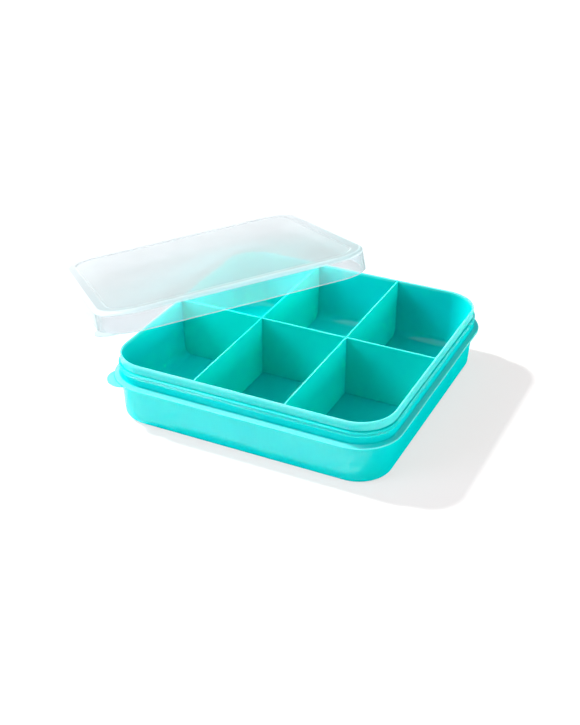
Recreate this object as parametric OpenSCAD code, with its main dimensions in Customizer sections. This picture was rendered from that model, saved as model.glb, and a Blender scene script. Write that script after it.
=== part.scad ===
// Square bento lunch box: a shallow tub with a beaded neck, three half-lapped
// dividers pressed into it that make six compartments, and a snap-fit cap lid.
// Millimetres, +Z up. The origin is the centre of the tub's flat underside.
// Left is -X and near is -Y.

/* [Tub] */
// Clear width and depth of the tub at the rim
inner_w = 210; // [180:1:240]
// Height of the tub from the table to the top of the rim
box_h = 50.5; // [44:0.5:70]
// Inside corner radius seen from above, at the rim
corner_r = 25.7; // [18:0.1:34]
// Thickness of the floor
floor_t = 2; // [1.6:0.1:3]
// Fillet between the floor and the walls, inside
floor_fillet = 7; // [5:0.5:10]
// Rounding of the lower outside edge
base_round = 5; // [3:0.1:7]
// How far the lower wall draws in from top to bottom
wall_draft = 1.9; // [0.6:0.1:2.4]

/* [Neck and flange] */
// Thickness of the rim band
rim_t = 1.5; // [1.3:0.1:1.8]
// Height of the plain band below the top of the rim
band_h = 6.3; // [5:0.1:8]
// How far the two sealing beads stand out from the inside face of the rim
bead_out = 3; // [2.8:0.05:3.05]
// Radius of a bead's rounded nose
bead_r = 0.9; // [0.7:0.05:1]
// Distance from the top of the rim down to the root of the flange
neck_h = 15.8; // [15:0.1:18]
// How far the flange stands out from the inside face of the rim
flange_out = 6.5; // [5.5:0.1:8]
// Thickness of the flange at its edge
flange_t = 1.8; // [1.4:0.1:2.4]

/* [Lift tabs] */
// Radius of the tub's rounded lift tab
tub_tab_r = 12.5; // [9:0.5:14]
// Radius of the lid's rounded lift tab
lid_tab_r = 14; // [10:0.5:15]

/* [Dividers] */
// Thickness of each divider
divider_t = 1.5; // [1.2:0.1:2.2]
// Distance from the middle of the tub to each cross divider
cross_x = 35; // [28:0.5:42]
// How far the divider tops sit below the rim
divider_drop = 0.5; // [0.3:0.1:3]
// Depth of the locating grooves in the wall and floor
groove_d = 0.6; // [0.4:0.05:0.8]

/* [Lid] */
// Height of the lid over its skirt
lid_h = 17.8; // [17.8:0.1:20]
// Wall thickness of the lid
lid_t = 1.2; // [1:0.05:1.2]
// How far the skirt stands out from the inside face of the rim
skirt_out = 4.5; // [4.5:0.05:5]
// Radius of the lid's rounded shoulder
shoulder_r = 3; // [2:0.1:4]
// Depth of the sunk panel in the top
panel_sink = 0.7; // [0.4:0.1:0.9]
// Width of the border around the sunk panel
panel_border = 10.5; // [8:0.5:16]
// How the lid is placed: propped on the tub with one corner on the table, or snapped on
lid_position = "leaning"; // [leaning, closed]

/* [Lid when leaning] */
// Turn about the vertical
lean_turn = 45.5; // [40:0.5:50]
// Tip down towards the far left side
lean_tip = -13.74; // [-14:0.02:-13.5]
// Roll down towards the near left side
lean_roll = -5.84; // [-6:0.02:-5.7]

/* [Hidden] */
$fn = 96;

// Plan. Sections are drawn as [u, z], where u is the distance outside the inner rim line.
half_w = inner_w / 2;          // from the middle to u = 0
arc_center = half_w - corner_r;
reach = 12;                    // how far inwards the swept sections run
overcut = 1;                   // how far cuts run past the faces they open

// Tub
lip_r = rim_t / 2;
lip_z = box_h - lip_r;         // centre of the lip's rounding
inner_slope = 0.03;            // inside wall's lean, per millimetre of height
wall_t = 2.4;                  // lower wall, at its top
band_bottom_z = box_h - band_h;
band_step = 0.3;               // step in below the band
bead_drops = [1.4, 4];         // bead centres below the band
dip_drops = [2.7, 5.1];        // low points between and under the beads, below the band
neck_u = 2.4;                  // outside face of the neck at its root
dip_u = neck_u - 0.2;
root_z = box_h - neck_h;
slope_h = 1.3;                 // fall of the flange's top face
flange_edge_z = root_z - slope_h;
flange_under_z = flange_edge_z - flange_t;
tub_tab_t = 1.5;
tub_tab_drop = 0.7;            // tab's underside below the flange's
tub_tab_place = 25.8;          // tab's centre from the corner's arc centre
tub_tab_turn = -135;
tub_tab_room = 40;             // side of the block that keeps the outer part of the tab

// Dividers
face_gap = 0.05;               // gap on each face of a divider
edge_gap = 0.1;                // gap between a divider's edge and its groove
slot_t = divider_t + 2 * face_gap;
lap_z = box_h / 2;             // height where the half-lap slots meet
lap_slot_w = 10;               // slot cutter's size across the divider

// Lid
skirt_draft = 0.3;             // how far the skirt draws in from foot to shoulder
panel_slope_w = 1.6;           // width of the slope into the panel
panel_round = 1.2;
foot_round = 0.35;
lid_tab_t = 1.2;
lid_tab_inset = 7.4;           // tab's centre inside the skirt's outer face
lid_tab_overlap = 0.6;         // how far the tab runs into the skirt
lid_tab_turn = -152;
lean_place = [-120.3, 70.1, box_h - 15.6];
// Closed lid: the foot of the skirt rests on the sloping top of the flange
seat_gap = 0.05;
seat_run = (skirt_out - lid_t - neck_u) / (flange_out - neck_u);
lid_seat = root_z - seat_run * slope_h + seat_gap;

// ---------- rounded outlines ----------

// Points from angle a0 to angle a1 on an arc
function arc(center, r, a0, a1, steps) =
    [for (i = [0 : steps])
        let (angle = a0 + (a1 - a0) * i / steps)
        center + r * [cos(angle), sin(angle)]];

function unit(v) = v / norm(v);

// Brings an angle into the range -180 to 180
function wrap(angle) = angle > 180 ? angle - 360 : angle < -180 ? angle + 360 : angle;

// Rounds a corner between the edges to the points before and after it
function round_at(before, corner, after, r, steps) =
    let (to_before = unit(before - corner),
         to_after = unit(after - corner),
         half_angle = acos(to_before * to_after) / 2,
         center = corner + unit(to_before + to_after) * r / sin(half_angle),
         tangent = r / tan(half_angle),
         first = corner + to_before * tangent - center,
         last = corner + to_after * tangent - center,
         start = atan2(first[1], first[0]),
         sweep = wrap(atan2(last[1], last[0]) - start))
    arc(center, r, start, start + sweep, steps);

// Rounds each corner of a path of [point, radius, steps]. The end points only
// give the direction of the first and last edges and aren't in the result.
function round_path(path) =
    [for (i = [1 : len(path) - 2])
        each round_at(path[i - 1][0], path[i][0], path[i + 1][0], path[i][1], path[i][2])];

// ---------- plan-view shapes shared by the tub and the lid ----------

// Carries a [u, z] section round a square with rounded corners
module sweep_square() {
    for (quarter = [0 : 3])
        rotate([0, 0, 90 * quarter]) translate([arc_center, arc_center, 0]) {
            rotate_extrude(angle = 90) translate([corner_r, 0]) children();
            rotate([90, 0, 0]) linear_extrude(height = 2 * arc_center)
                translate([corner_r, 0]) children();
        }
}

// Plan of everything inside the line u
module plan_inside(u) {
    r = corner_r + u;
    narrow = 2 * arc_center;
    wide = 2 * (arc_center + r);
    square([narrow, wide], center = true);
    square([wide, narrow], center = true);
    for (x = [-arc_center, arc_center], y = [-arc_center, arc_center])
        translate([x, y]) circle(r = r);
}

// Flat plate that fills the middle of a swept ring, overlapping it by 1
module middle_plate(z, t) {
    translate([0, 0, z]) linear_extrude(height = t) plan_inside(1 - reach);
}

// Moves to the arc centre of the near left corner and points +X along turn
module near_left(z, turn) {
    translate([-arc_center, -arc_center, z]) rotate([0, 0, turn]) children();
}

// Thin disc with a soft edge, its centre at distance out from the near left
// arc centre. The part of it outside the wall is a lift tab.
module tab_disc(r, out, z, t, turn) {
    edge_r = 0.45;
    near_left(z, turn) translate([out, 0, 0]) rotate_extrude() polygon([
        [0, 0],
        each round_path([[[0, 0]], [[r, 0], edge_r, 5], [[r, t], edge_r, 5], [[0, t]]]),
        [0, t]
    ]);
}

// ---------- tub ----------

// Inside face of the wall at height z
function inner_u(z) = -inner_slope * (lip_z - z);

// Inside corner between floor and wall, grown outwards by grow, from the floor up
function floor_corner(grow) =
    let (z = floor_t - grow)
    round_at([-reach, z], [inner_u(z) + grow, z], [grow, lip_z], floor_fillet + grow, 12);

// One closed outline: up the inside, over the lip, down the neck, out along the
// flange, down the lower wall and under the rounded base
function tub_outline() =
    let (bead_u = bead_out - bead_r,
         wall_u = inner_u(flange_under_z) + wall_t,
         band_step_u = rim_t - band_step,
         lower_dip = [dip_u, band_bottom_z - dip_drops[1]],
         root = [neck_u, root_z])
    [
        [-reach, floor_t],
        each floor_corner(0),
        each arc([lip_r, lip_z], lip_r, 180, 0, 12),
        [rim_t, band_bottom_z],
        [band_step_u, band_bottom_z - 0.25],
        [band_step_u, band_bottom_z - 0.5],
        each arc([bead_u, band_bottom_z - bead_drops[0]], bead_r, 110, -70, 10),
        [dip_u, band_bottom_z - dip_drops[0]],
        each arc([bead_u, band_bottom_z - bead_drops[1]], bead_r, 70, -90, 10),
        lower_dip,
        each round_at(lower_dip, root, [flange_out, flange_edge_z], 0.5, 4),
        each round_path([
            [root],
            [[flange_out, flange_edge_z + 0.1], 0.4, 5],
            [[flange_out, flange_under_z], 1.1, 7],
            [[wall_u, flange_under_z], 0.6, 5],
            [[wall_u - wall_draft, 0], base_round, 14],
            [[-reach, 0]]
        ]),
        [-reach, 0]
    ];

// Disc under the flange, cut off just inside the rim line
module tub_tab() {
    intersection() {
        tab_disc(tub_tab_r, tub_tab_place, flange_under_z - tub_tab_drop, tub_tab_t, tub_tab_turn);
        near_left(0, tub_tab_turn)
            translate([corner_r - 0.5, -tub_tab_room / 2, 0])
                cube([tub_tab_room, tub_tab_room, box_h]);
    }
}

// Cutter for one divider's grooves in the walls and floor
module groove() {
    upright(slot_t) polygon(blank_outline(groove_d, box_h + overcut));
}

module tub() {
    color([0.16, 0.82, 0.83]) difference() {
        union() {
            sweep_square() polygon(tub_outline());
            middle_plate(0, floor_t);
            tub_tab();
        }
        groove();
        for (x = [-cross_x, cross_x]) crosswise(x) groove();
    }
}

// ---------- dividers ----------

// Stands a flat outline up along X, centred on y = 0
module upright(t) {
    translate([0, t / 2, 0]) rotate([90, 0, 0]) linear_extrude(height = t) children();
}

// Turns a piece that lies along X to run near to far at x
module crosswise(x) {
    translate([x, 0, 0]) rotate([0, 0, 90]) children();
}

// Upright outline of the tub's inside from wall to wall, grown by grow, cut off
// at height top
function blank_outline(grow, top) =
    let (edge = [each floor_corner(grow), [inner_u(min(top, box_h)) + grow, top]],
         right = [for (p = edge) [half_w + p[0], p[1]]],
         last = len(right) - 1)
    [each right, for (i = [last : -1 : 0]) [-right[i][0], right[i][1]]];

// Plain divider with a rounded top edge
module divider_blank() {
    half_t = divider_t / 2;
    edge_r = half_t * 0.9;
    top = box_h - divider_drop;
    lower_right = [half_t, -overcut];
    lower_left = [-half_t, -overcut];
    intersection() {
        upright(divider_t) polygon(blank_outline(groove_d - edge_gap, top));
        translate([-inner_w, 0, 0]) rotate([90, 0, 90]) linear_extrude(height = 2 * inner_w)
            polygon([
                lower_left,
                lower_right,
                each round_path([
                    [lower_right],
                    [[half_t, top], edge_r, 8],
                    [[-half_t, top], edge_r, 8],
                    [lower_left]
                ])
            ]);
    }
}

// Cutter for a half-lap slot centred on x, from z up
module lap_slot(x, z, h) {
    translate([x - slot_t / 2, -lap_slot_w / 2, z]) cube([slot_t, lap_slot_w, h]);
}

// Runs left to right, with slots in its top half for the cross dividers
module long_divider() {
    color([0.12, 0.80, 0.80]) difference() {
        divider_blank();
        for (x = [-cross_x, cross_x]) lap_slot(x, lap_z, box_h);
    }
}

// Runs near to far, with a slot in its bottom half that drops over the long divider
module cross_divider(x) {
    color([0.12, 0.80, 0.80]) crosswise(x) difference() {
        divider_blank();
        lap_slot(0, -overcut, lap_z + overcut + 2 * face_gap);
    }
}

module left_cross_divider() { cross_divider(-cross_x); }
module right_cross_divider() { cross_divider(cross_x); }

// ---------- lid ----------

// One closed outline, with the foot of the skirt at z = 0: up the outside, over
// the shoulder, down into the sunk panel, back under it and down the inside
function lid_outline() =
    let (inside_u = skirt_out - lid_t,
         shoulder_u = skirt_out - skirt_draft,
         border_u = skirt_out - panel_border + 1.2,
         panel_u = border_u - panel_slope_w,
         panel_z = lid_h - panel_sink,
         foot_in = [inside_u, 0],
         foot_out = [skirt_out, 0])
    [
        each round_path([
            [foot_in],
            [foot_out, foot_round, 4],
            [[shoulder_u, lid_h], shoulder_r, 12],
            [[border_u, lid_h], panel_round, 4],
            [[panel_u, panel_z], panel_round, 4],
            [[-reach, panel_z]]
        ]),
        [-reach, panel_z],
        [-reach, panel_z - lid_t],
        each round_path([
            [[-reach, panel_z - lid_t]],
            [[panel_u, panel_z - lid_t], panel_round, 4],
            [[border_u, lid_h - lid_t], panel_round, 4],
            [[shoulder_u - lid_t, lid_h - lid_t], shoulder_r - lid_t, 8],
            [foot_in]
        ]),
        each round_at([inside_u, 2], foot_in, foot_out, foot_round, 4)
    ];

module lid_tab() {
    difference() {
        tab_disc(lid_tab_r, corner_r + skirt_out - lid_tab_inset, 0, lid_tab_t, lid_tab_turn);
        translate([0, 0, -overcut]) linear_extrude(height = 4)
            plan_inside(skirt_out - lid_tab_overlap);
    }
}

module lid_shape() {
    sweep_square() polygon(lid_outline());
    middle_plate(lid_h - panel_sink - lid_t, lid_t);
    lid_tab();
}

module lid() {
    color([0.86, 0.94, 0.95, 0.5])
    if (lid_position == "closed") translate([0, 0, lid_seat]) lid_shape();
    else translate(lean_place) rotate([lean_tip, lean_roll, lean_turn]) lid_shape();
}

tub();
long_divider();
left_cross_divider();
right_cross_divider();
lid();
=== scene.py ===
import math

import bpy
from mathutils import Matrix, Vector


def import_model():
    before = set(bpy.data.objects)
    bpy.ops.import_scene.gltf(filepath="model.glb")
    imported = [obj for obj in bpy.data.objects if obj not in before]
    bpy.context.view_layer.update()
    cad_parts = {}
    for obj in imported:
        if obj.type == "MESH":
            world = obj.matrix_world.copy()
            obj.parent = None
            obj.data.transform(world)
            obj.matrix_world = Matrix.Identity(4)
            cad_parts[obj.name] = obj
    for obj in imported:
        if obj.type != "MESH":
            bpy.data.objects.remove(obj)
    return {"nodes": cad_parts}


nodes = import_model()["nodes"]
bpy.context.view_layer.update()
scene = bpy.context.scene

# The inner rim line of tub and lid is a square with rounded corners
RIM_CORNER_CENTRE = 0.0793  # x and y of the centres of the corner arcs
RIM_CORNER_RADIUS = 0.0257

# The lid's frame, in its object coordinates
LID_ORIGIN = (-0.1203, 0.0701, 0.0349)
LID_ALONG = (0.6972, 0.7096, 0.1018)
LID_ACROSS = (-0.6760, 0.6980, -0.2363)
LID_UP = (-0.2387, 0.0959, 0.9663)

PLASTIC_IOR = 1.49
LID_CLEAR_IOR = 1.12  # lower than the real one, so that the thin sheet bends little
LIGHT_DEPTH = (0.0001, 0.0026, 0.0019)  # how far red, green, blue sink into the turquoise
MILK_COLOUR = (0.455, 0.475, 0.49)

FLOOR_SIZE = 12.0
FLOOR_Z = -0.0002
AIM = Vector((0, 0, 0.03))  # the point that all lights face


# ---------------------------------------------------------------- node helpers

def math_method(operation, swapped=False):
    """A method that adds a Math node; swapped puts the output itself last."""
    def method(self, *others):
        values = (*others, self) if swapped else (self, *others)
        return self.tree.math(operation, *values)
    return method


class Output:
    """One output of a shader node. Arithmetic on it adds Math nodes."""

    def __init__(self, tree, node, key=0):
        self.tree = tree
        self.node = node
        self.key = key

    def __getitem__(self, key):
        """Another output of the same node."""
        return Output(self.tree, self.node, key)

    __add__ = math_method("ADD")
    __radd__ = math_method("ADD", swapped=True)
    __sub__ = math_method("SUBTRACT")
    __rsub__ = math_method("SUBTRACT", swapped=True)
    __mul__ = math_method("MULTIPLY")
    __truediv__ = math_method("DIVIDE")
    __lt__ = math_method("LESS_THAN")
    __abs__ = math_method("ABSOLUTE")
    max = math_method("MAXIMUM")
    min = math_method("MINIMUM")
    sqrt = math_method("SQRT")
    exp = math_method("EXPONENT")

    def scaled(self, factor, plus):
        return self.tree.math("MULTIPLY_ADD", self, factor, plus)

    def ramp(self, start, end, low=0.0, high=1.0, smooth=False):
        """Goes from low, where this output is at start, to high at end, and is held beyond."""
        inputs = dict(enumerate((self, start, end, low, high)))
        kind = "SMOOTHSTEP" if smooth else "LINEAR"
        return self.tree.add("MapRange", inputs, interpolation_type=kind)


class Tree:
    """Short-hand for building the node tree of a material or world."""

    def __init__(self, owner):
        owner.use_nodes = True
        self.tree = owner.node_tree
        self.tree.nodes.clear()

    def add(self, kind, inputs=None, **settings):
        node = self.tree.nodes.new("ShaderNode" + kind)
        for name, value in settings.items():
            setattr(node, name, value)
        for key, value in (inputs or {}).items():
            if isinstance(value, Output):
                self.tree.links.new(value.node.outputs[value.key], node.inputs[key])
            else:
                node.inputs[key].default_value = value
        return Output(self, node)

    def math(self, operation, *values):
        """A Math node, with its unused inputs at zero."""
        padded = (*values, 0.0, 0.0)[:3]
        return self.add("Math", dict(enumerate(padded)), operation=operation)

    def vector(self, operation, first, second=(0.0, 0.0, 0.0)):
        result = self.add("VectorMath", {0: first, 1: second}, operation=operation)
        return result["Value" if operation in ("DOT_PRODUCT", "LENGTH") else "Vector"]

    def split(self, vector):
        separate = self.add("SeparateXYZ", {0: vector})
        return separate[0], separate[1], separate[2]

    def mix_colours(self, factor, first, second):
        return self.add("Mix", {0: factor, 6: first, 7: second}, data_type="RGBA")[2]

    def mix_numbers(self, factor, first, second):
        return self.add("Mix", {0: factor, 2: first, 3: second}, data_type="FLOAT")[0]

    def noise(self, place, scale, detail=2.0, roughness=0.5):
        return self.add("TexNoise", {
            "Vector": place, "Scale": scale, "Detail": detail, "Roughness": roughness})["Fac"]

    def blend(self, factor, first, second):
        return self.add("MixShader", {0: factor, 1: first, 2: second})

    def both(self, first, second):
        return self.add("AddShader", {0: first, 1: second})

    def two_sided(self, inputs):
        """Half the light is scattered back and half goes through."""
        diffuse = self.add("BsdfDiffuse", inputs)
        translucent = self.add("BsdfTranslucent", inputs)
        return self.blend(0.5, diffuse, translucent)


def new_material(name):
    material = bpy.data.materials.new(name)
    return material, Tree(material)


def grey(level):
    return (level, level, level, 1)


def rim_distance(x, y):
    """Distance outside the inner rim line, in plan; negative inside it."""
    past_x = abs(x) - RIM_CORNER_CENTRE
    past_y = abs(y) - RIM_CORNER_CENTRE
    out_x = past_x.max(0.0)
    out_y = past_y.max(0.0)
    corner = (out_x * out_x + out_y * out_y).sqrt()
    flat = past_x.max(past_y).min(0.0)
    return corner + flat - RIM_CORNER_RADIUS


def moulded_bumps(tree, place, sink_scale, sink_strength, grain_scale, grain_strength):
    """Normals with faint sink marks, and the same with a fine satin grain on top."""
    sink = tree.noise(place, sink_scale, detail=1.0, roughness=0.4)
    grain = tree.noise(place, grain_scale, detail=1.0)
    sunk = tree.add("Bump", {"Strength": sink_strength, "Distance": 0.0004, "Height": sink})
    grained = tree.add("Bump", {
        "Strength": grain_strength, "Distance": 0.00003, "Height": grain, "Normal": sunk})
    return sunk, grained


# ---------------------------------------------------------------- turquoise plastic

def tub_painted_light(tree, geometry, colour, highlight_tint):
    """Colour with painted highlights that make the lip, flange and lift tab paler, and a factor
    on the shine that paints shade where it is cut.
    """
    x, y, z = tree.split(geometry["Position"])
    outside = rim_distance(x, y)

    # painted shade: a narrow upright strip 2 to 3 mm outside the rim line, the neck root under
    # the beads, loses most of its shine
    root_shade = outside.ramp(0.0018, 0.0020) * outside.ramp(0.0030, 0.0027)
    root_shade = root_shade * (z.ramp(0.0403, 0.0396) * z.ramp(0.0330, 0.0340))
    gloss = root_shade.scaled(-0.9, plus=1.0)

    # painted highlights on the flange: its upper face and, further out, its outer edge
    below_top = z.ramp(0.0350, 0.0345)
    upper = z.ramp(0.0327, 0.0330).max(outside.ramp(0.0068, 0.0070))
    shelf = outside.ramp(0.0028, 0.0036, smooth=True) * upper * below_top
    edge = outside.ramp(0.0058, 0.0062) * z.ramp(0.0324, 0.0329) * below_top

    # painted shade: the side face just under that edge has half the shine
    side_face_shade = outside.ramp(0.0054, 0.0058) * (
        outside.ramp(0.0070, 0.0068) * z.ramp(0.0329, 0.0325))
    side_face_shade = side_face_shade * z.ramp(0.0300, 0.0312)
    gloss = gloss * side_face_shade.scaled(-0.5, plus=1.0)

    # painted highlights on the lip at the top, and on the band under it where it faces right
    lip = z.ramp(0.0472, 0.0503, high=0.8, smooth=True)
    facing_right = tree.split(geometry["Normal"])[0].ramp(0.2, 0.8)
    band = z.ramp(0.0441, 0.0445) * outside.ramp(0.0008, 0.0013) * (facing_right * 0.55)
    lip = lip.max(band)

    # the painted highlight on the shelf almost fades at the right end, where the flange lies in
    # shade
    shelf = shelf * x.ramp(0.080, 0.104, low=1.0, high=0.1, smooth=True)
    return tree.mix_colours(shelf.max(lip).max(edge), colour, highlight_tint), gloss


def turquoise(name, base, deep, shift=0.0, highlight_tint=None):
    """Glossy moulded polypropylene that light sinks a millimetre or two into.

    Its colour flows slightly between base and deep, and shift moves the noise pattern.
    A highlight tint adds painted highlights to the tub's lip, flange and lift tab, and cut
    shine paints shade on the neck root and the flange's side face.
    """
    material, tree = new_material(name)
    geometry = tree.add("NewGeometry")
    place = tree.vector("ADD", geometry["Position"], (shift, shift * 0.7, shift * 1.3))
    flow = tree.noise(place, scale=14.0, detail=3.0, roughness=0.55)
    cloud = tree.noise(place, scale=55.0)
    colour = tree.mix_colours(flow.ramp(0.3, 0.7, smooth=True), base, deep)
    gloss = 1.0
    if highlight_tint:
        colour, gloss = tub_painted_light(tree, geometry, colour, highlight_tint)

    speck = tree.noise(place, scale=900.0, detail=1.0)
    roughness = cloud.ramp(0.3, 0.7, low=0.045, high=0.075) + speck.ramp(0.45, 0.8, high=0.02)
    grained = moulded_bumps(tree, place, sink_scale=28.0, sink_strength=0.08,
                            grain_scale=2600.0, grain_strength=0.035)[1]
    body = tree.add("BsdfPrincipled", {
        "Base Color": colour, "Roughness": 0.6, "IOR": PLASTIC_IOR,
        "Specular IOR Level": 0.0, "Normal": grained, "Subsurface Weight": 1.0,
        "Subsurface Radius": LIGHT_DEPTH, "Subsurface Scale": 1.0})
    coat = tree.add("BsdfGlossy", {
        "Color": (0.95, 1.0, 1.0, 1.0), "Roughness": roughness, "Normal": grained})

    # a softened Fresnel shine, painted stronger on faces turned left, towards the key light,
    # and weaker on the shaded faces turned right
    fresnel = tree.add("Fresnel", {"IOR": PLASTIC_IOR, "Normal": grained})
    shine = (fresnel - 0.14).max(0.0) * 0.6 + 0.057
    by_side = tree.split(geometry["Normal"])[0].ramp(-0.9, 0.9, low=1.55, high=0.26)
    tree.add("OutputMaterial", {0: tree.blend(shine * by_side * gloss, body, coat)})
    return material


# ---------------------------------------------------------------- frosted plastic

def light_through_lid(tree, geometry, path, thin):
    """What diffuse rays meet: part goes straight on, part is spread by the milky plastic, and
    over the back left the lid adds a painted glow.
    """
    glow = tree.two_sided({"Color": (0.92, 0.94, 0.94, 1)})
    x, y, _ = tree.split(geometry["Position"])
    # painted glow: over the back left the lid gives off extra light, though it is no lamp
    glow_over_back_left = y.ramp(0.005, 0.035) * x.ramp(-0.025, -0.05)
    lit = tree.both(glow, tree.add("Emission", {"Strength": glow_over_back_left * 1.1}))
    spread = tree.blend(0.6, thin, lit)
    # surfaces closer than this to the lid get only the straight light
    near = path["Ray Length"] < 0.012
    return tree.blend(near, spread, thin)


def frosted(name):
    """Translucent polypropylene: rough refraction under a milky veil.

    The veil thickens at grazing angles, over the raised border and on the shoulder. A painted
    highlight brightens the cut edge round the foot, and another the edge of the sunk panel. The
    upright skirt is clearer, where it faces the view passes more light than reaches it, a
    painted brightening, and blurs more.
    """
    material, tree = new_material(name)
    geometry = tree.add("NewGeometry")
    normal = geometry["Normal"]
    # the lid's own coordinates, so that its markings travel with it
    place = tree.add("TexCoord")["Object"]
    local = tree.vector("SUBTRACT", place, LID_ORIGIN)
    height = tree.vector("DOT_PRODUCT", local, LID_UP)
    outside = rim_distance(tree.vector("DOT_PRODUCT", local, LID_ALONG),
                           tree.vector("DOT_PRODUCT", local, LID_ACROSS))
    path = tree.add("LightPath")
    flow = tree.noise(place, scale=18.0, detail=3.0, roughness=0.55)
    cloud = tree.noise(place, scale=60.0)
    sunk, grained = moulded_bumps(tree, place, sink_scale=26.0, sink_strength=0.12,
                                  grain_scale=2200.0, grain_strength=0.03)

    # masks: 1 on the part they are named after
    facing = abs(tree.vector("DOT_PRODUCT", geometry["Incoming"], normal))
    border = outside.ramp(-0.0064, -0.0052, smooth=True)
    skirt = abs(tree.vector("DOT_PRODUCT", normal, LID_UP)).ramp(0.75, 0.45, smooth=True)
    top = 1.0 - skirt
    frontal_skirt = skirt * facing.ramp(0.3, 0.7, smooth=True)
    shoulder = (outside.ramp(0.0006, 0.0020, smooth=True)
                * height.ramp(0.0138, 0.0152, smooth=True))
    # a painted highlight line along the edge of the sunk panel
    panel_edge_highlight = outside.ramp(-0.0064, -0.0061) * outside.ramp(-0.0054, -0.0057)

    # share of milk, from the depth of plastic that the view passes through
    thickness = (border * top).scaled(0.75, plus=frontal_skirt.scaled(-0.16, plus=1.0))
    haze = flow.ramp(0.3, 0.7, low=0.175, high=0.190) * thickness
    depth = haze / facing.max(0.15)
    veil = 1.0 - (depth * -1.0).exp()
    # painted highlight: a bright milky line along the cut edge round the foot
    foot_highlight = height.ramp(0.0003, 0.0009, low=0.75, high=0.0, smooth=True)
    veil = veil.max(foot_highlight).max(shoulder * 0.68).max(panel_edge_highlight * 0.62)

    # the milk is whiter edge-on, on the shoulder, the outermost part and the border
    edge_on = facing.ramp(0.30, 0.12, high=0.45)
    outermost = outside.ramp(0.0046, 0.0052)
    by_part = shoulder.scaled(0.6, plus=outermost.scaled(0.25, plus=border * 0.13))
    whiter = 1.0 + edge_on.max(by_part)
    milky = tree.add("VectorMath", {0: MILK_COLOUR, "Scale": whiter}, operation="SCALE")
    milk = tree.two_sided({"Color": milky, "Normal": grained})

    # where the skirt faces the view its clear part passes more light than reaches it, a painted
    # brightening
    clear = tree.add("BsdfRefraction", {
        "Color": tree.mix_colours(frontal_skirt, grey(0.985), (1.145, 1.13, 1.145, 1)),
        "Roughness": cloud.ramp(0.3, 0.7, low=0.07, high=0.10) * skirt.scaled(1.3, plus=1.0),
        "IOR": LID_CLEAR_IOR, "Normal": grained})
    gloss = tree.add("BsdfGlossy", {
        "Color": tree.mix_colours(skirt, grey(1), grey(0.38)),
        "Roughness": cloud.ramp(0.3, 0.7, low=0.14, high=0.19), "Normal": sunk})
    fresnel = tree.add("Fresnel", {"IOR": PLASTIC_IOR, "Normal": sunk})
    # only the side that light enters by reflects
    outer = fresnel * (1.0 - geometry["Backfacing"])
    body = tree.blend(veil, tree.blend(outer, clear, gloss), milk)

    thin = tree.add("BsdfTransparent", {"Color": (0.93, 0.95, 0.955, 1)})
    arriving = light_through_lid(tree, geometry, path, thin)
    surface = tree.blend(path["Is Diffuse Ray"], body, arriving)
    surface = tree.blend(path["Is Shadow Ray"], surface, thin)
    tree.add("OutputMaterial", {0: surface})
    return material


# ---------------------------------------------------------------- pieces

def smooth_cad(piece, corner_angle=38.0):
    """Smooth shading across the narrow CAD facets, with the real corners kept sharp."""
    mesh = piece.data
    for name in ("custom_normal", "sharp_edge", "sharp_face"):
        if name in mesh.attributes:
            mesh.attributes.remove(mesh.attributes[name])
    for polygon in mesh.polygons:
        polygon.use_smooth = True
    weld = piece.modifiers.new("weld", "WELD")
    weld.merge_threshold = 2e-6
    corners = piece.modifiers.new("corners", "EDGE_SPLIT")
    corners.split_angle = math.radians(corner_angle)
    corners.use_edge_sharp = False
    normals = piece.modifiers.new("normals", "WEIGHTED_NORMAL")
    normals.weight = 50
    normals.keep_sharp = True


def cover(piece, material):
    """Makes this the piece's only material."""
    piece.data.materials.clear()
    piece.data.materials.append(material)
    for polygon in piece.data.polygons:
        polygon.material_index = 0


for piece in nodes.values():
    smooth_cad(piece)

tub_plastic = turquoise("tub_plastic", base=(0.001, 0.57, 0.565, 1),
                        deep=(0.001, 0.545, 0.54, 1), highlight_tint=(0.115, 0.63, 0.63, 1))
divider_plastic = turquoise("divider_plastic", base=(0.001, 0.60, 0.555, 1),
                            deep=(0.001, 0.575, 0.53, 1), shift=0.37)
cover(nodes["tub"], tub_plastic)
for name in ("long_divider", "left_cross_divider", "right_cross_divider"):
    cover(nodes[name], divider_plastic)
cover(nodes["lid"], frosted("lid_plastic"))


# ---------------------------------------------------------------- floor

def floor_paper():
    """White paper that answers each kind of ray differently."""
    material, tree = new_material("floor_paper")
    path = tree.add("LightPath")
    through_lid = path["Is Transmission Ray"]
    paper = tree.add("BsdfDiffuse", {"Color": (0.88, 0.88, 0.885, 1)})

    # seen directly: a weak shadow on a glowing ground, a little below white through the lid
    shaded = tree.add("BsdfDiffuse", {
        "Color": tree.mix_colours(through_lid, grey(0.30), grey(0.05))})
    dim = through_lid.scaled(-0.16, plus=1.0)
    # far from the box the floor rises to the backdrop's white
    away = tree.vector("LENGTH", tree.add("NewGeometry")["Position"])
    far = away.ramp(0.9, 1.8, high=0.45, smooth=True)
    glowing = tree.add("Emission", {
        "Color": tree.mix_colours(through_lid, (1.045, 0.995, 0.99, 1), (0.99, 1.035, 1.07, 1)),
        "Strength": dim.scaled(0.64, plus=far * path["Is Camera Ray"])})
    ground = tree.both(shaded, glowing)
    direct = path["Is Camera Ray"].max(through_lid)

    # in reflections the shadow on the floor stands out more
    contrast = tree.both(tree.add("BsdfDiffuse", {"Color": grey(1.35)}),
                         tree.add("Emission", {"Strength": -0.75}))
    surface = tree.blend(path["Is Glossy Ray"], paper, contrast)
    surface = tree.blend(direct, surface, ground)

    # clear from below, and to diffuse rays that start right at the floor
    below = tree.add("NewGeometry")["Backfacing"]
    touching = path["Is Diffuse Ray"] * (path["Ray Length"] < 0.0006)
    surface = tree.blend(below.max(touching), surface, tree.add("BsdfTransparent"))
    tree.add("OutputMaterial", {0: surface})
    return material


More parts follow.
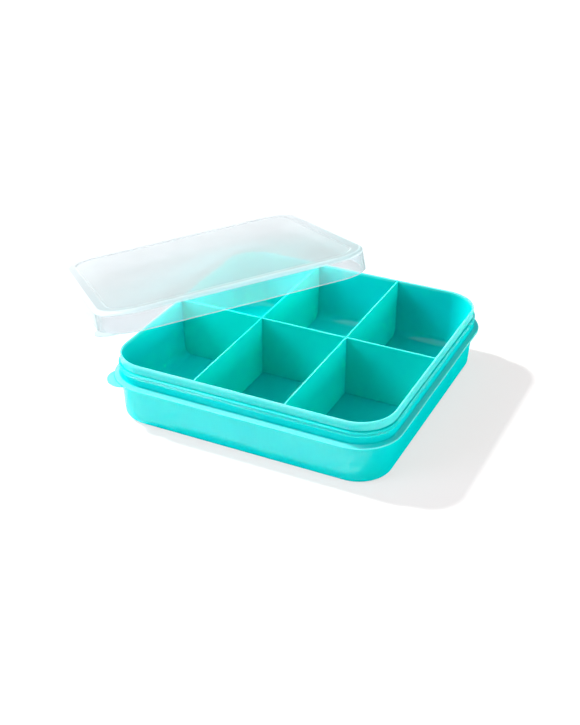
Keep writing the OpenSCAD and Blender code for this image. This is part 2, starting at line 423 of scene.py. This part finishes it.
bpy.ops.mesh.primitive_plane_add(size=FLOOR_SIZE, location=(0, 0, FLOOR_Z))
floor = bpy.context.object
floor.name = "floor"
cover(floor, floor_paper())


# ---------------------------------------------------------------- light

def studio_world():
    """White to the camera, dimmer as a light, and a gradient in reflections."""
    world = bpy.data.worlds.new("studio")
    scene.world = world
    tree = Tree(world)
    z = tree.split(tree.add("TexCoord")["Generated"])[2]
    path = tree.add("LightPath")
    reflected = z.ramp(0.02, 0.40, low=0.85, high=0.55, smooth=True)
    strength = tree.mix_numbers(path["Is Glossy Ray"], 0.45, reflected)
    strength = tree.mix_numbers(path["Is Transmission Ray"], strength, 0.85)
    strength = tree.mix_numbers(path["Is Camera Ray"], strength, 1.0)
    background = tree.add("Background", {"Color": grey(1), "Strength": strength})
    tree.add("OutputWorld", {0: background})


def panel(name, place, width, height, radiance, colour=(1, 1, 1)):
    """A one-sided rectangular light at place that faces AIM."""
    light = bpy.data.lights.new(name, "AREA")
    light.shape = "RECTANGLE"
    light.size = width
    light.size_y = height
    light.energy = radiance * math.pi * width * height
    light.color = colour
    holder = bpy.data.objects.new(name, light)
    scene.collection.objects.link(holder)
    holder.location = place
    holder.rotation_mode = "QUATERNION"
    holder.rotation_quaternion = (AIM - place).to_track_quat("-Z", "Y")
    return holder


def lamp(name, toward, distance, width, height, irradiance, colour=(1, 1, 1)):
    """A soft box whose light on a white card that faces it reads as irradiance."""
    place = Vector(toward).normalized() * distance + AIM
    solid_angle = width * height / distance ** 2
    panel(name, place, width, height, irradiance * math.pi / solid_angle, colour)


def reflection_card(name, place, width, height, radiance):
    """A bright card seen only in reflections."""
    card = panel(name, place, width, height, radiance)
    card.visible_diffuse = False
    card.visible_transmission = False


studio_world()
lamp("key", toward=(-1.035, 0.04, 1.0), distance=4.4, width=0.28, height=0.28,
     irradiance=1.62, colour=(1.0, 0.995, 0.97))
lamp("front_fill", toward=(-0.62, -0.72, 0.50), distance=4.0, width=2.0, height=1.6,
     irradiance=0.45, colour=(0.94, 1.0, 1.14))
lamp("right_fill", toward=(0.95, -0.15, 0.18), distance=4.0, width=1.8, height=1.1,
     irradiance=0.42)
# high at the back left, and lower at the back right
reflection_card("back_card", Vector((-0.40, 0.62, 0.69)) * 1.5,
                width=1.1, height=1.3, radiance=5.0)
reflection_card("right_card", Vector((0.50, 0.78, 0.37)) * 1.6,
                width=0.8, height=0.8, radiance=4.0)

# ---------------------------------------------------------------- camera

CAMERA_PLACE = (0.32739, -0.70802, 0.46830)
# degrees: yaw from +Y towards +X, pitch below the horizon, roll about the view line
CAMERA_ANGLES = (-25.542, 29.934, 0.41)

camera = bpy.data.cameras.new("camera")
camera.sensor_width = 36.0
camera.sensor_fit = "AUTO"
camera.lens = 58.42
camera.clip_start = 0.01
camera_holder = bpy.data.objects.new("camera", camera)
scene.collection.objects.link(camera_holder)

yaw, pitch, roll = map(math.radians, CAMERA_ANGLES)
forward = Vector((math.sin(yaw) * math.cos(pitch), math.cos(yaw) * math.cos(pitch),
                  -math.sin(pitch)))
level_right = Vector((math.cos(yaw), -math.sin(yaw), 0.0))
level_up = level_right.cross(forward)
right = math.cos(roll) * level_right + math.sin(roll) * level_up
up = -math.sin(roll) * level_right + math.cos(roll) * level_up
turn = Matrix((right, up, -forward)).transposed().to_4x4()
camera_holder.matrix_world = Matrix.Translation(CAMERA_PLACE) @ turn
scene.camera = camera_holder
scene.view_settings.view_transform = "Standard"
